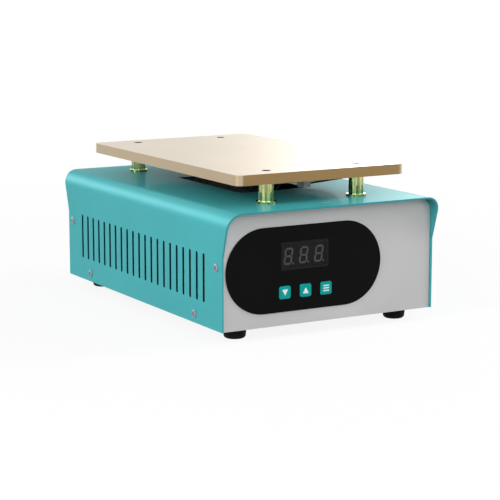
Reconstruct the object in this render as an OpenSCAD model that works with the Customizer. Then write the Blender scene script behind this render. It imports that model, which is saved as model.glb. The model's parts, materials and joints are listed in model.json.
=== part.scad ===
// Small electric preheater for circuit boards: a bent sheet cover with visor ends stands on four rubber feet
// and carries a flat heating plate on four posts. A panel with a display and three buttons closes the front,
// and a panel with the mains inlet and the power switch closes the rear.
// Millimetres, +Z up, front towards -Y. The origin is on the table, midway between the four feet.

/* [Cover] */
// outside width of the bent cover
cover_w = 151.2; // [146:0.2:170]
// length of the cover along its bottom edge
cover_len = 219; // [216:1:240]
// height of the cover from its bottom edge to its top face
cover_h = 71.8; // [69:0.1:84]
// thickness of the sheet that the cover, tray and panels are bent from
sheet_t = 1.2; // [0.8:0.1:1.5]
// outside radius of the cover's two long shoulders
shoulder_r = 9.6; // [6:0.1:12]
// how far the top of the cover reaches past its bottom edge at each end
visor_out = 8.2; // [6:0.1:12]
// height above the cover's bottom edge where the ends start to lean out
visor_start = 44.4; // [30:0.1:55]
// width of the cut-out in the cover's top
opening_w = 50; // [44:1:54]
// length of the cut-out in the cover's top
opening_len = 85; // [80:1:90]
// corner radius of the cut-out
opening_corner_r = 2; // [1:0.5:4]

/* [Vent slots] */
// slots in each side wall
slot_count = 21; // [11:1:21]
// distance from slot to slot
slot_pitch = 8.7; // [6:0.1:8.8]
// width of a slot
slot_w = 2.6; // [1.5:0.1:3.5]
// length of a slot from end to end
slot_len = 29.8; // [15:0.1:32]
// height of the slots' middle above the cover's bottom edge
slot_mid_h = 29.6; // [29.5:0.1:34]

/* [Heating plate] */
// width of the heating plate
plate_w = 120; // [110:0.2:140]
// length of the heating plate
plate_len = 201.5; // [198:0.5:225]
// thickness of the heating plate
plate_t = 6.4; // [5:0.1:10]
// corner radius of the heating plate
plate_corner_r = 5; // [2:0.5:8]
// space between the cover's top and the plate's underside
plate_gap = 13.3; // [12.8:0.1:18]
// depth of the plate's screw heads under its top face
screw_sink = 0.8; // [0:0.1:1.5]
// distance across the plate between its posts
post_span_x = 65; // [58:0.5:70]
// distance along the plate between its posts
post_span_y = 174.5; // [166:0.5:178]

/* [Posts] */
// width across the flats of a post's hexagon
post_af = 8.2; // [7:0.1:9]
// height of a post's hexagon
post_hex_h = 5.6; // [4:0.1:7]
// diameter of a post's round neck
post_neck_d = 9.3; // [6:0.1:9.6]
// outside diameter of the washer under a post
post_washer_d = 12.4; // [11:0.1:14]
// thickness of the washer under a post
post_washer_t = 1.2; // [0.8:0.1:1.6]
// thread diameter of a post's lower stud
post_stud_d = 4; // [3:0.5:4]

/* [Heater] */
// width of the flat heating element
heater_w = 71; // [64:1:84]
// length of the flat heating element
heater_len = 134; // [124:1:148]
// thickness of the flat heating element
heater_t = 2.4; // [1.5:0.1:3]
// thickness of the insulating pad under the element
pad_t = 3.2; // [1:0.1:3.4]
// thickness of the clamp plate under the pad
clamp_t = 1.3; // [0.8:0.1:1.4]

/* [Front controls] */
// distance from the cover's end edge back to the panel's face
panel_recess = 0.8; // [0.6:0.1:2]
// length of the black control overlay
overlay_w = 109.4; // [106:0.1:109.8]
// height of the black control overlay
overlay_h = 52.2; // [50:0.1:54]
// thickness of the control overlay
overlay_t = 0.5; // [0.3:0.1:0.6]
// sideways place of the overlay's middle
overlay_x = -18.1; // [-18.2:0.1:-10]
// height of the overlay's middle above the cover's bottom edge
overlay_mid_h = 34.4; // [33:0.1:36]
// width of the display window
window_w = 33.2; // [31.6:0.1:36]
// height of the display window
window_h = 17; // [16:0.1:18]
// height of the window's middle above the cover's bottom edge
window_mid_h = 42.1; // [41.5:0.1:43]
// width of the ledge that the window rests on
window_ledge = 1; // [0.6:0.1:1.2]
// depth of the display module
display_depth = 8; // [7.5:0.1:9]
// width and height of a button
button_size = 7.8; // [7:0.1:8.6]
// corner radius of a button
button_corner_r = 1.3; // [0.8:0.1:2]
// distance from button to button
button_pitch = 14.55; // [13:0.05:15]
// sideways place of the middle button from the overlay's middle
button_shift = 0.4; // [-1:0.1:1]
// height of the buttons' middle above the cover's bottom edge
button_mid_h = 20.2; // [19.5:0.1:21]
// how far a button stands out of the overlay
button_proud = 0.35; // [0.2:0.05:0.6]
// travel of a button
button_travel = 0.6; // [0.3:0.05:0.7]

/* [Rear connections] */
// sideways place of the mains inlet's middle
inlet_x = -36; // [-40:1:-34]
// sideways place of the power switch's middle
switch_x = 36; // [34:1:42]
// height of the inlet's and the switch's middle above the cover's bottom edge
rear_mid_h = 34; // [33:1:38]
// tilt of the power rocker to each side of its middle
rocker_tilt = 12; // [6:1:13]

/* [Feet] */
// height of a rubber foot
foot_h = 7.6; // [6.5:0.1:12]
// diameter of a foot against the tray
foot_top_d = 15; // [13:0.1:16]
// diameter of a foot on the table
foot_bottom_d = 13.6; // [12.4:0.1:15]
// radius of a foot's lower edge
foot_edge_r = 2; // [0.5:0.1:2.2]
// distance between the feet across the body
foot_span_x = 116; // [110:1:122]
// distance between the feet along the body
foot_span_y = 186.8; // [184:0.1:188]

/* [Screws] */
// thread diameter of the small screws
screw_d = 3; // [2.5:0.1:3]
// head diameter of the small screws
head_d = 5.2; // [5:0.1:6]
// head height of the small screws
head_h = 1.3; // [1.2:0.1:2]
// head height of the cover's screws
cover_head_h = 0.8; // [0.6:0.1:1.6]
// distance along the body between the upper side screws
side_screw_span = 205.6; // [204:0.1:206.4]
// height of the upper side screws above the cover's bottom edge
side_screw_h = 38.1; // [32:0.1:44]
// distance along the body between the lower side screws
low_screw_span = 150; // [130:1:160]
// height of the lower side screws above the cover's bottom edge
low_screw_h = 5.5; // [5:0.1:7]
// distance along the body between the two screws in the cover's top
top_screw_span = 205.2; // [204:0.1:206]

/* [Boards inside] */
// thickness of the circuit boards
board_t = 1.6; // [1:0.1:2]
// width of the upright control board
control_w = 88; // [86:1:92]
// height of the upright control board
control_h = 46; // [45:1:48]
// width of the flat power board
power_w = 100; // [98:1:104]
// length of the flat power board
power_len = 80; // [78:1:82]
// height of the spacers under the power board
spacer_h = 8; // [6:0.5:10]

/* [Clearances] */
// room around a screw in a threaded hole
thread_gap = 0.05; // [0.02:0.01:0.1]
// room around a screw in a plain hole
hole_gap = 0.2; // [0.15:0.05:0.3]
// room around the buttons and beside the rocker
move_gap = 0.3; // [0.25:0.05:0.4]
// room between the cover and the sheets inside it
sheet_gap = 0.3; // [0.1:0.05:0.5]
// room between a piece and the pocket it is set into
seat_gap = 0.05; // [0.02:0.01:0.1]

/* [Mains inlet] */
// width of the inlet's body
inlet_w = 27.6; // [27:0.1:29]
// height of the inlet's body
inlet_h = 20; // [19.6:0.1:21]
// cut of the two upper corners of the inlet's body
inlet_cut = 5; // [4:0.5:6]
// wall around the inlet's mouth
inlet_wall = 1.8; // [1.4:0.1:2]
// width of the inlet's flange
inlet_flange_w = 50; // [49:0.5:52]
// height of the inlet's flange
inlet_flange_h = 24; // [23:0.5:26]
// thickness of the inlet's flange
inlet_flange_t = 3; // [2:0.5:4]
// distance between the inlet's two screws
inlet_screw_span = 40; // [38.5:0.5:41]
// depth of the inlet's mouth
mouth_depth = 17; // [16.5:0.5:19]
// length of an inlet pin inside the mouth
pin_len = 12; // [10:0.5:12]
// thickness of an inlet pin
pin_t = 2; // [1.5:0.1:2.2]
// height of an inlet pin
pin_h = 4; // [3:0.1:4.2]
// distance of the two outer pins from the middle
pin_side = 7; // [6.5:0.1:7.5]
// distance of the pins above and below the middle
pin_rise = 2; // [1.5:0.1:2.5]

/* [Power switch] */
// width of the switch's body
switch_w = 13; // [12.5:0.1:14]
// height of the switch's body
switch_h = 19; // [18.6:0.1:21]
// rim of the switch's flange past its body
switch_rim = 1; // [0.6:0.1:2]
// thickness of the switch's flange
switch_flange_t = 2; // [1.5:0.1:3]
// length of the switch behind its flange's outer face
switch_depth = 16; // [15:0.5:20]
// radius of the rocker's ends about its pivot
rocker_r = 8.2; // [7:0.1:8.4]
// width of the rocker
rocker_w = 8.8; // [7.5:0.1:9]
// diameter of the rocker's trunnions
trunnion_d = 2.4; // [2:0.1:2.6]

/* [Transformer] */
// width of the transformer's core
core_w = 34; // [32:0.5:36]
// height of the transformer's core
core_h = 28; // [26:0.5:32]
// thickness of the core's stack of sheets
core_t = 16; // [12:0.5:18]
// width of the core's outer legs and yokes
core_leg = 4.5; // [3.5:0.1:5]
// width of the core's middle leg
core_mid = 9; // [7:0.1:10]

/* [Power semiconductor] */
// width of the heatsink
sink_w = 24; // [20:1:25]
// height of the heatsink
sink_h = 24; // [22:1:30]
// thickness of the heatsink's wall
sink_wall = 3; // [2:0.5:4]
// length of the heatsink's fins
fin_len = 10; // [6:1:12]
// thickness of a heatsink fin
fin_t = 1.4; // [1:0.1:2]
// number of heatsink fins
fin_count = 5; // [3:1:6]
// height of the semiconductor's screw above the board
triac_screw_h = 16.5; // [16:0.5:18]

/* [Hidden] */
// names of all sub-parts
// sub-part to draw, or all of them
// smoothness of round faces
$fn = 48;
// small overlap that keeps joined shapes whole
eps = 0.01;
// height of the cover's bottom edge above the table
z_base = foot_h;
// height of the cover's top face
z_top = z_base + cover_h;
// height of the cover's ceiling
z_ceiling = z_top - sheet_t;
// height of the tray's floor
z_floor = z_base + sheet_t;
// height of the plate's underside
z_plate = z_top + plate_gap;
// length of the cover's top face
cover_full_len = cover_len + 2 * visor_out;
// inside half width of the cover
cover_in = cover_w / 2 - sheet_t;
// half width of the panels and the tray
panel_half = cover_in - sheet_gap;
// distance of a panel's outer face from the middle
panel_y = cover_len / 2 - panel_recess;
// distance of a panel's inner face from the middle
panel_in = panel_y - sheet_t;
// height of a panel above the cover's bottom edge
panel_h = cover_h - sheet_t - sheet_gap;
// depth of the panels' flanges
flange_d = panel_in - side_screw_span / 2 + 6;
// height of the tray's side flanges
tray_h = low_screw_h + 7;
// height of the panels' side flanges
side_flange_h = 32;
// outside bend radius of the tray
tray_bend_r = 2.2;
// half length of the tray
tray_half = panel_in - seat_gap;
// half widths between the screws that join the panels to the tray
base_screw_x = 42;
// height of a small nut
nut_h = 2.4;
// width across the flats of a small nut
nut_af = 5.5;
// height of a post's nut
post_nut_h = 3.2;
// width across the flats of a post's nut
post_nut_af = 7;
// thickness of the thin stack under the plate
heater_stack = heater_t + pad_t + clamp_t;
// corner radius of the sheets under the plate
stack_corner_r = 3;
// depth of the blind holes in the plate's underside
blind_depth = 3.5;
// distance of the element's two leads from the middle
heater_lead_x = 6;
// place of the element's two leads along the body
heater_lead_y = 4;
// thread diameter of the temperature sensor
sensor_d = 4;
// width across the flats of the temperature sensor
sensor_af = 8;
// shank length of the cover's screws
cover_screw_len = 6;
// height of the temperature sensor's hexagon
sensor_h = 6.8;
// radius of the temperature sensor's lead
sensor_lead_r = 0.6;
// distance of the clamp plate's ends from the ends of the pad
clamp_inset = 12;
// rows of the clamp screws across the plate
clamp_x = heater_w / 2 - 5;
// rows of the clamp screws along the plate
clamp_y = heater_len / 2 - 24;
// place of the control board's front face along the body
control_y = -panel_y + display_depth;
// height of the overlay's middle above the table
overlay_z = z_base + overlay_mid_h;
// height of the window's middle above the table
window_z = z_base + window_mid_h;
// height of the buttons' middle above the table
button_z = z_base + button_mid_h;
// height of the control board's middle above the table
control_z = overlay_z - 1.4;
// places of the control board's spacers from its middle
control_hole_x = control_w / 2 - 4;
// heights of the control board's spacers from its middle
control_hole_z = control_h / 2 - 4;
// height of the push switches on the control board
push_h = 4;
// depth that a button's stem reaches into its switch
stem_in = 0.5;
// diameter of a button's stem
stem_d = 3.4;
// width of a push switch
push_w = 6.2;
// room left under a button's stem when it is pressed
stem_room = 0.4;
// rim of the collar behind a button
collar_rim = 1.2;
// room around the display module in the panel's hole
display_gap = 0.2;
// thickness of the collar behind a button
collar_t = 1;
// middle of the power board along the body
power_y = 15;
// height of the power board's upper face
z_power = z_floor + spacer_h + board_t;
// places of the power board's spacers across the body
power_hole_x = power_w / 2 - 5;
// places of the power board's spacers from the board's middle along the body
power_hole_y = power_len / 2 - 5;
// height of the inlet's and the switch's middle above the table
rear_z = z_base + rear_mid_h;
// depth of the rocker's pivot under the flange's outer face
pivot_in = 1.6;
// depth of the rocker's inner face behind its pivot
rocker_in = 3;
// length of the rocker's trunnions
trunnion_len = 1.2;
// room around the rocker's trunnions
pivot_gap = 0.05;
// length of an inlet pin or switch contact behind its body
tab_len = 8;
// thickness of the inlet's inner end
inlet_end_t = 4;
// length of the inlet behind its flange's outer face
inlet_depth = mouth_depth + inlet_end_t;
// distance of the switch's contacts above and below its middle
tab_rise = 5;
// width of a switch contact
tab_w = 4.8;
// thickness of a switch contact
tab_t = 0.8;
// depth that a switch contact is set into the body
tab_in = 3;
// room between the end of a lead and what it is joined to
lead_gap = 0.3;
// radius of an insulated lead
lead_r = 1.1;
// place of the bonding stud beside the cut-out
bond_x = opening_w / 2 + 4.6;
// place of the bonding stud along the body
bond_y = opening_len / 2 - 1.5;
// place of the bonding screw under the plate across the body
bond_plate_x = plate_w / 2 - 8;
// place of the bonding screw under the plate along the body
bond_plate_y = opening_len / 2 - 8;
// thickness of a ring terminal
ring_t = 0.8;
// outside diameter of a ring terminal
ring_d = 7;
// length of a ring terminal's tongue from the middle of its hole
tongue_len = 7.5;
// width of a ring terminal's tongue
tongue_w = 2.8;
// place of a lead's end on a ring terminal's tongue
tongue_seat = 5.5;
// place of the temperature sensor along the plate
sensor_y = -heater_len / 2 - 11;
// place of the triac's heatsink across the body
sink_x = 36;
// place of the triac's heatsink along the body
sink_y = -6;
// place of the transformer across the body
trafo_x = -24;
// place of the transformer along the body
trafo_y = 26;
// room between the core and its winding
coil_gap = 0.1;
// thickness of the winding on each side of the core's middle leg
coil_t = (core_w - 2 * core_leg - core_mid) / 2 - 2 * coil_gap;
// diameter of the tube fuse
fuse_d = 5.2;
// length of the tube fuse
fuse_len = 20;
// height of the tube fuse's middle above the board
fuse_h = 5;
// width of a fuse clip
clip_w = 6.8;
// length of a fuse clip
clip_len = 5;
// height of the screw terminals
terminal_h = 12;
// height of the mains leads in their terminals
terminal_hole_h = 6.5;
// room around a lead in its terminal
lead_room = 0.5;
// thickness of the semiconductor's body
triac_t = 4.5;
// width of the semiconductor
triac_w = 10;
// thickness of the semiconductor's tab
triac_tab = 1.3;
// thickness of the ribbon cable
ribbon_t = 0.9;
// width of the ribbon cable
ribbon_w = 12;
// bend radius of the ribbon cable
ribbon_bend = 10;
// width and height of the ribbon's headers
header_h = 6;
// width of the controller chip
chip_w = 14;
// length of the controller chip
chip_len = 20;
// thickness of the controller chip
chip_t = 2.4;
// place of the earth stud across the body
earth_x = -panel_half + 12;
// place of the earth stud along the body
earth_y = 70;
// colour of the painted cover
teal = [0.30, 0.68, 0.70];
// colour of the painted panels
silver = [0.74, 0.74, 0.74];
// colour of the anodised plate
gold = [0.86, 0.78, 0.62];
// colour of bright steel
steel = [0.72, 0.73, 0.75];
// colour of black plastic
black = [0.08, 0.08, 0.08];
// colour of yellow zinc
zinc = [0.66, 0.68, 0.36];
// colour of the circuit boards
green = [0.10, 0.38, 0.22];
// colour of brass
brass = [0.80, 0.64, 0.32];

// flat shape in X and Z drawn out along Y, from its far face towards the front
module along_y(y_far, depth) {
    translate([0, y_far, 0])
        rotate([90, 0, 0])
            linear_extrude(height = depth)
                children();
}

// flat shape in Y and Z drawn out along X
module along_x(x_near, width) {
    translate([x_near, 0, 0])
        rotate([90, 0, 90])
            linear_extrude(height = width)
                children();
}

// rectangle with round corners, centred
module round_rect(w, h, r) {
    square([w - 2 * r, h], center = true);
    square([w, h - 2 * r], center = true);
    for (x = [-1, 1], y = [-1, 1])
        translate([x * (w / 2 - r), y * (h / 2 - r)])
            circle(r = r);
}

// upright slot with round ends, centred
module upright_slot(w, h) {
    square([w, h - w], center = true);
    for (y = [-1, 1])
        translate([0, y * (h - w) / 2])
            circle(d = w);
}

// lying bar with round ends, centred
module lying_slot(w, h) {
    rotate(90)
        upright_slot(h, w);
}

// upright outline that stands on its lower edge, with round upper corners
module hood(w, h, r) {
    translate([-w / 2, 0])
        square([w, h - r]);
    translate([-w / 2 + r, 0])
        square([w - 2 * r, h]);
    for (x = [-1, 1])
        translate([x * (w / 2 - r), h - r])
            circle(r = r);
}

// bent sheet section, open at its lower edge
module bent_section(w, h, t, r) {
    difference() {
        hood(w, h, r);
        translate([0, -1])
            hood(w - 2 * t, h - t + 1, r - t);
    }
}

// pan head with a cross recess, its seat at height 0, shank downwards
module pan_screw(length, d = screw_d, hd = head_d, hh = head_h) {
    difference() {
        union() {
            cylinder(d = hd, h = hh * 0.55);
            translate([0, 0, hh * 0.55])
                cylinder(d1 = hd, d2 = hd * 0.66, h = hh * 0.45);
        }
        for (a = [0, 90])
            rotate(a)
                translate([0, 0, hh])
                    cube([hd * 0.5, hd * 0.13, hh], center = true);
    }
    translate([0, 0, -length])
        cylinder(d = d, h = length + eps);
}

// hexagon nut standing on height 0, with its bore
module nut(af, h, d) {
    difference() {
        cylinder(d = af / cos(30), h = h, $fn = 6);
        translate([0, 0, -1])
            cylinder(d = d + 2 * thread_gap, h = h + 2);
    }
}

// ring standing on height 0
module ring(od, id, h) {
    difference() {
        cylinder(d = od, h = h);
        translate([0, 0, -1])
            cylinder(d = id, h = h + 2);
    }
}

// children at the four posts
module at_posts() {
    for (x = [-1, 1], y = [-1, 1])
        translate([x * post_span_x / 2, y * post_span_y / 2, 0])
            children();
}

// children at the four feet
module at_feet() {
    for (x = [-1, 1], y = [-1, 1])
        translate([x * foot_span_x / 2, y * foot_span_y / 2, 0])
            children();
}

// children at the four side screws of one height, pointing outwards
module at_side_screws(span, h, x) {
    for (s = [-1, 1], y = [-1, 1])
        translate([s * x, y * span / 2, z_base + h])
            rotate([0, s * 90, 0])
                children();
}

// children at the power board's four corners
module at_power_holes() {
    for (x = [-1, 1], y = [-1, 1])
        translate([x * power_hole_x, power_y + y * power_hole_y, 0])
            children();
}

// children at the clamp's screws
module at_clamp_screws() {
    for (x = [-1, 1], y = [-1, 0, 1])
        translate([x * clamp_x, y * clamp_y, 0])
            children();
}

// children at the control board's four corners, with the way to the front along local -Z
module at_control_holes(y) {
    for (x = [-1, 1], z = [-1, 1])
        translate([overlay_x + x * control_hole_x, y, control_z + z * control_hole_z])
            rotate([-90, 0, 0])
                children();
}

// point on a smooth curve through four points, between the middle two
function curve_point(a, b, c, d, t) =
    b + 0.5 * ((c - a) * t + (2 * a - 5 * b + 4 * c - d) * pow(t, 2) + (3 * b - a - 3 * c + d) * pow(t, 3));

// smooth line through hand-set points
function smooth(p, n) = let (last = len(p) - 1)
    [for (i = [0:last - 1], k = [0:n - 1])
        curve_point(p[max(i - 1, 0)], p[i], p[i + 1], p[min(i + 2, last)], k / n), p[last]];

// direction of unit length
function unit(v) = v / norm(v);

// round lead along a smooth line through hand-set points
module lead(points, r, ref = [0, 0, 1], n = 4) {
    p = smooth(points, n);
    last = len(p) - 1;
    sides = 8;
    rings = [for (i = [0:last])
        let (t = unit(p[min(i + 1, last)] - p[max(i - 1, 0)]), u = unit(cross(t, ref)), v = cross(t, u))
            for (k = [0:sides - 1]) p[i] + r * (cos(k * 360 / sides) * u + sin(k * 360 / sides) * v)];
    walls = [for (i = [0:last - 1], k = [0:sides - 1])
        let (a = i * sides + k, b = i * sides + (k + 1) % sides)
            for (f = [[a, b, a + sides], [b, b + sides, a + sides]]) f];
    caps = [[for (k = [sides - 1:-1:0]) k], [for (k = [0:sides - 1]) last * sides + k]];
    polyhedron(points = rings, faces = concat(walls, caps), convexity = 6);
}

// sheet cover bent over the body, with leaning ends, side slots and a cut-out in its top
module top_cover() {
    color(teal)
        difference() {
            intersection() {
                translate([0, 0, z_base])
                    along_y(cover_full_len / 2, cover_full_len)
                        bent_section(cover_w, cover_h, sheet_t, shoulder_r);
                translate([0, 0, z_base])
                    along_x(-cover_w, 2 * cover_w)
                        cover_ends();
            }
            along_x(-cover_w, 2 * cover_w)
                for (i = [0:slot_count - 1])
                    translate([(i - (slot_count - 1) / 2) * slot_pitch, z_base + slot_mid_h])
                        upright_slot(slot_w, slot_len);
            translate([0, 0, z_ceiling - 1])
                linear_extrude(height = sheet_t + 2)
                    round_rect(opening_w, opening_len, opening_corner_r);
            at_posts()
                translate([0, 0, z_ceiling - 1])
                    cylinder(d = post_stud_d + 2 * hole_gap, h = sheet_t + 2);
            at_side_screws(side_screw_span, side_screw_h, cover_w / 2 - sheet_t - 1)
                cylinder(d = screw_d + 2 * hole_gap, h = sheet_t + 2);
            at_side_screws(low_screw_span, low_screw_h, cover_w / 2 - sheet_t - 1)
                cylinder(d = screw_d + 2 * hole_gap, h = sheet_t + 2);
            for (y = [-1, 1])
                translate([0, y * top_screw_span / 2, z_ceiling - 1])
                    cylinder(d = screw_d + 2 * hole_gap, h = sheet_t + 2);
            translate([bond_x, bond_y, z_ceiling - 1])
                cylinder(d = screw_d + 2 * hole_gap, h = sheet_t + 2);
        }
}

// side view of the cover: upright ends that lean out towards the top
module cover_ends() {
    polygon([
        [-cover_len / 2, -1],
        [cover_len / 2, -1],
        [cover_len / 2, visor_start],
        [cover_full_len / 2, cover_h],
        [cover_full_len / 2, cover_h + 1],
        [-cover_full_len / 2, cover_h + 1],
        [-cover_full_len / 2, cover_h],
        [-cover_len / 2, visor_start]
    ]);
}

// floor tray with turned-up sides
module base_tray() {
    color(silver)
        difference() {
            along_y(tray_half, 2 * tray_half)
                translate([0, z_base + tray_h])
                    mirror([0, 1])
                        bent_section(2 * panel_half, tray_h, sheet_t, tray_bend_r);
            at_feet()
                translate([0, 0, z_base - 1])
                    cylinder(d = screw_d + 2 * hole_gap, h = sheet_t + 2);
            at_side_screws(low_screw_span, low_screw_h, panel_half - sheet_t - 1)
                cylinder(d = screw_d + 2 * thread_gap, h = sheet_t + 2);
            for (x = [-1, 1], y = [-1, 1])
                translate([x * base_screw_x, y * base_screw_y(), z_base - 1])
                    cylinder(d = screw_d + 2 * hole_gap, h = sheet_t + 2);
            at_power_holes()
                translate([0, 0, z_base - 1])
                    cylinder(d = screw_d + 2 * hole_gap, h = sheet_t + 2);
            translate([earth_x, earth_y, z_base - 1])
                cylinder(d = screw_d + 2 * hole_gap, h = sheet_t + 2);
        }
}

// distance from the middle to the screws that join the panels to the tray
function base_screw_y() = panel_in - flange_d / 2;

// end panel with its four flanges, facing the front
module panel_blank() {
    difference() {
        union() {
            along_y(-panel_in, sheet_t)
                translate([0, z_base])
                    hood(2 * panel_half, panel_h, shoulder_r - sheet_t - sheet_gap);
            for (s = [-1, 1])
                translate([s * (panel_half - sheet_t / 2), -base_screw_y() - eps / 2, z_base + side_screw_h])
                    cube([sheet_t, flange_d + eps, side_flange_h], center = true);
            translate([0, -base_screw_y() - eps / 2, z_base + panel_h - sheet_t / 2])
                cube([2 * (panel_half - shoulder_r - 4), flange_d + eps, sheet_t], center = true);
            translate([0, -base_screw_y() - eps / 2, z_floor + sheet_t / 2])
                cube([2 * (base_screw_x + 8), flange_d + eps, sheet_t], center = true);
        }
        for (s = [-1, 1])
            translate([s * (panel_half - sheet_t - 1), -side_screw_span / 2, z_base + side_screw_h])
                rotate([0, s * 90, 0])
                    cylinder(d = screw_d + 2 * thread_gap, h = sheet_t + 2);
        translate([0, -top_screw_span / 2, z_base + panel_h - sheet_t - 1])
            cylinder(d = screw_d + 2 * thread_gap, h = sheet_t + 2);
        for (x = [-1, 1])
            translate([x * base_screw_x, -base_screw_y(), z_floor - 1])
                cylinder(d = screw_d + 2 * thread_gap, h = sheet_t + 2);
    }
}

// front panel with the holes for the display and the buttons
module front_panel() {
    color(silver)
        difference() {
            panel_blank();
            along_y(-panel_in + 1, sheet_t + 2) {
                translate([overlay_x, window_z])
                    square([window_w - 2 * window_ledge, window_h - 2 * window_ledge], center = true);
                at_buttons()
                    button_hole();
            }
        }
}

// outline of the hole around a button
module button_hole() {
    hole = button_size + 2 * move_gap;
    round_rect(hole, hole, button_corner_r + move_gap);
}

// sideways place of a button
function button_x(i) = overlay_x + button_shift + i * button_pitch;

// flat children at the three buttons, in X and Z
module at_buttons() {
    for (i = [-1, 0, 1])
        translate([button_x(i), button_z])
            children();
}

// rear panel with the holes for the mains inlet and the power switch
module rear_panel() {
    color(silver)
        difference() {
            mirror([0, 1, 0])
                panel_blank();
            along_y(panel_y + 1, sheet_t + 2) {
                translate([inlet_x, rear_z]) {
                    inlet_outline(inlet_w + 2 * hole_gap, inlet_h + 2 * hole_gap);
                    for (s = [-1, 1])
                        translate([s * inlet_screw_span / 2, 0])
                            circle(d = screw_d + 2 * hole_gap);
                }
                translate([switch_x, rear_z])
                    square([switch_w + 2 * hole_gap, switch_h + 2 * hole_gap], center = true);
            }
        }
}

// screws that hold the cover to the panels' flanges and to the tray
module cover_side_screws() {
    color(steel) {
        at_side_screws(side_screw_span, side_screw_h, cover_w / 2)
            pan_screw(cover_screw_len, hh = cover_head_h);
        at_side_screws(low_screw_span, low_screw_h, cover_w / 2)
            pan_screw(cover_screw_len, hh = cover_head_h);
    }
}

// screws in the cover's top, into the panels' upper flanges
module cover_top_screws() {
    color(steel)
        for (y = [-1, 1])
            translate([0, y * top_screw_span / 2, z_top])
                pan_screw(cover_screw_len, hh = cover_head_h);
}

// screws from below that join the panels' lower flanges to the tray
module panel_base_screws() {
    color(steel)
        for (x = [-1, 1], y = [-1, 1])
            translate([x * base_screw_x, y * base_screw_y(), z_base])
                rotate([180, 0, 0])
                    pan_screw(5);
}

// half section of a foot: a taper with a round lower edge
module foot_section() {
    flat_r = foot_bottom_d / 2 - foot_edge_r;
    polygon([
        [0, 0],
        [flat_r, 0],
        [foot_bottom_d / 2, foot_edge_r],
        [foot_top_d / 2, foot_h],
        [0, foot_h]
    ]);
    translate([flat_r, foot_edge_r])
        circle(r = foot_edge_r);
}

// tapered rubber feet with a pocket for the screw head
module rubber_feet() {
    color(black)
        at_feet()
            difference() {
                rotate_extrude()
                    foot_section();
                translate([0, 0, -1])
                    cylinder(d = head_d + 2, h = foot_h - 2);
                cylinder(d = screw_d + 2 * hole_gap, h = foot_h + 1);
            }
}

// screws through the feet
module foot_screws() {
    color(steel)
        at_feet()
            translate([0, 0, foot_h - 3])
                rotate([180, 0, 0])
                    pan_screw(9);
}

// nuts of the foot screws, on the tray's floor
module foot_nuts() {
    color(steel)
        at_feet()
            translate([0, 0, z_floor])
                nut(nut_af, nut_h, screw_d);
}

// flat heating plate with round corners and countersunk holes
module heating_plate() {
    color(gold)
        difference() {
            translate([0, 0, z_plate])
                linear_extrude(height = plate_t)
                    round_rect(plate_w, plate_len, plate_corner_r);
            at_posts() {
                translate([0, 0, z_plate - 1])
                    cylinder(d = screw_d + 2 * hole_gap, h = plate_t + 2);
                translate([0, 0, z_plate + plate_t - screw_sink - plate_sink()])
                    cylinder(d1 = screw_d + 2 * hole_gap, d2 = head_d + 2 * hole_gap, h = plate_sink());
                translate([0, 0, z_plate + plate_t - screw_sink - eps])
                    cylinder(d = head_d + 2 * hole_gap, h = screw_sink + 1);
            }
            at_clamp_screws()
                translate([0, 0, z_plate - 1])
                    cylinder(d = screw_d + 2 * thread_gap, h = blind_depth + 1);
            translate([0, sensor_y, z_plate - 1])
                cylinder(d = sensor_d + 2 * thread_gap, h = blind_depth + 1);
            translate([bond_plate_x, bond_plate_y, z_plate - 1])
                cylinder(d = screw_d + 2 * thread_gap, h = blind_depth + 1);
        }
}

// depth of the countersinks in the plate
function plate_sink() = (head_d - screw_d) / 2;

// countersunk screws through the plate into the posts
module plate_screws() {
    color([0.2, 0.18, 0.17])
        at_posts()
            translate([0, 0, z_plate + plate_t - screw_sink - plate_sink() - hole_gap])
                difference() {
                    union() {
                        cylinder(d1 = screw_d, d2 = head_d, h = plate_sink());
                        translate([0, 0, -plate_t - 2])
                            cylinder(d = screw_d, h = plate_t + 2 + eps);
                    }
                    for (a = [0, 90])
                        rotate(a)
                            translate([0, 0, plate_sink()])
                                cube([head_d * 0.55, head_d * 0.14, 1.4], center = true);
                }
}

// round posts with six flats at the foot and a threaded stud below
module plate_posts() {
    color(zinc)
        at_posts()
            difference() {
                union() {
                    translate([0, 0, z_top + post_washer_t])
                        rotate(30)
                            cylinder(d = post_af / cos(30), h = post_hex_h, $fn = 6);
                    translate([0, 0, z_top + post_washer_t + post_hex_h - eps])
                        cylinder(d = post_neck_d, h = plate_gap - post_washer_t - post_hex_h + eps);
                    translate([0, 0, z_ceiling - 5])
                        cylinder(d = post_stud_d, h = 5 + sheet_t + post_washer_t + eps);
                }
                translate([0, 0, z_plate - 6])
                    cylinder(d = screw_d + 2 * thread_gap, h = 7);
            }
}

// washers between the posts and the cover
module post_washers() {
    color(zinc)
        at_posts()
            translate([0, 0, z_top])
                ring(post_washer_d, post_stud_d + 2 * hole_gap, post_washer_t);
}

// nuts of the posts, under the cover's ceiling
module post_nuts() {
    color(steel)
        at_posts()
            translate([0, 0, z_ceiling - post_nut_h])
                nut(post_nut_af, post_nut_h, post_stud_d);
}

// sheet under the plate with its screw holes
module under_plate(depth, t, w, l) {
    difference() {
        translate([0, 0, z_plate - depth - t])
            linear_extrude(height = t)
                round_rect(w, l, stack_corner_r);
        at_clamp_screws()
            translate([0, 0, z_plate - depth - t - 1])
                cylinder(d = screw_d + 2 * hole_gap, h = t + 2);
    }
}

// flat heating element against the plate's underside
module heater_element() {
    color([0.62, 0.55, 0.42])
        under_plate(0, heater_t, heater_w, heater_len);
}

// insulating pad under the element, cut for the element's two leads
module insulating_pad() {
    color([0.9, 0.88, 0.82])
        difference() {
            under_plate(heater_t, pad_t, heater_w, heater_len);
            heater_lead_holes();
        }
}

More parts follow.
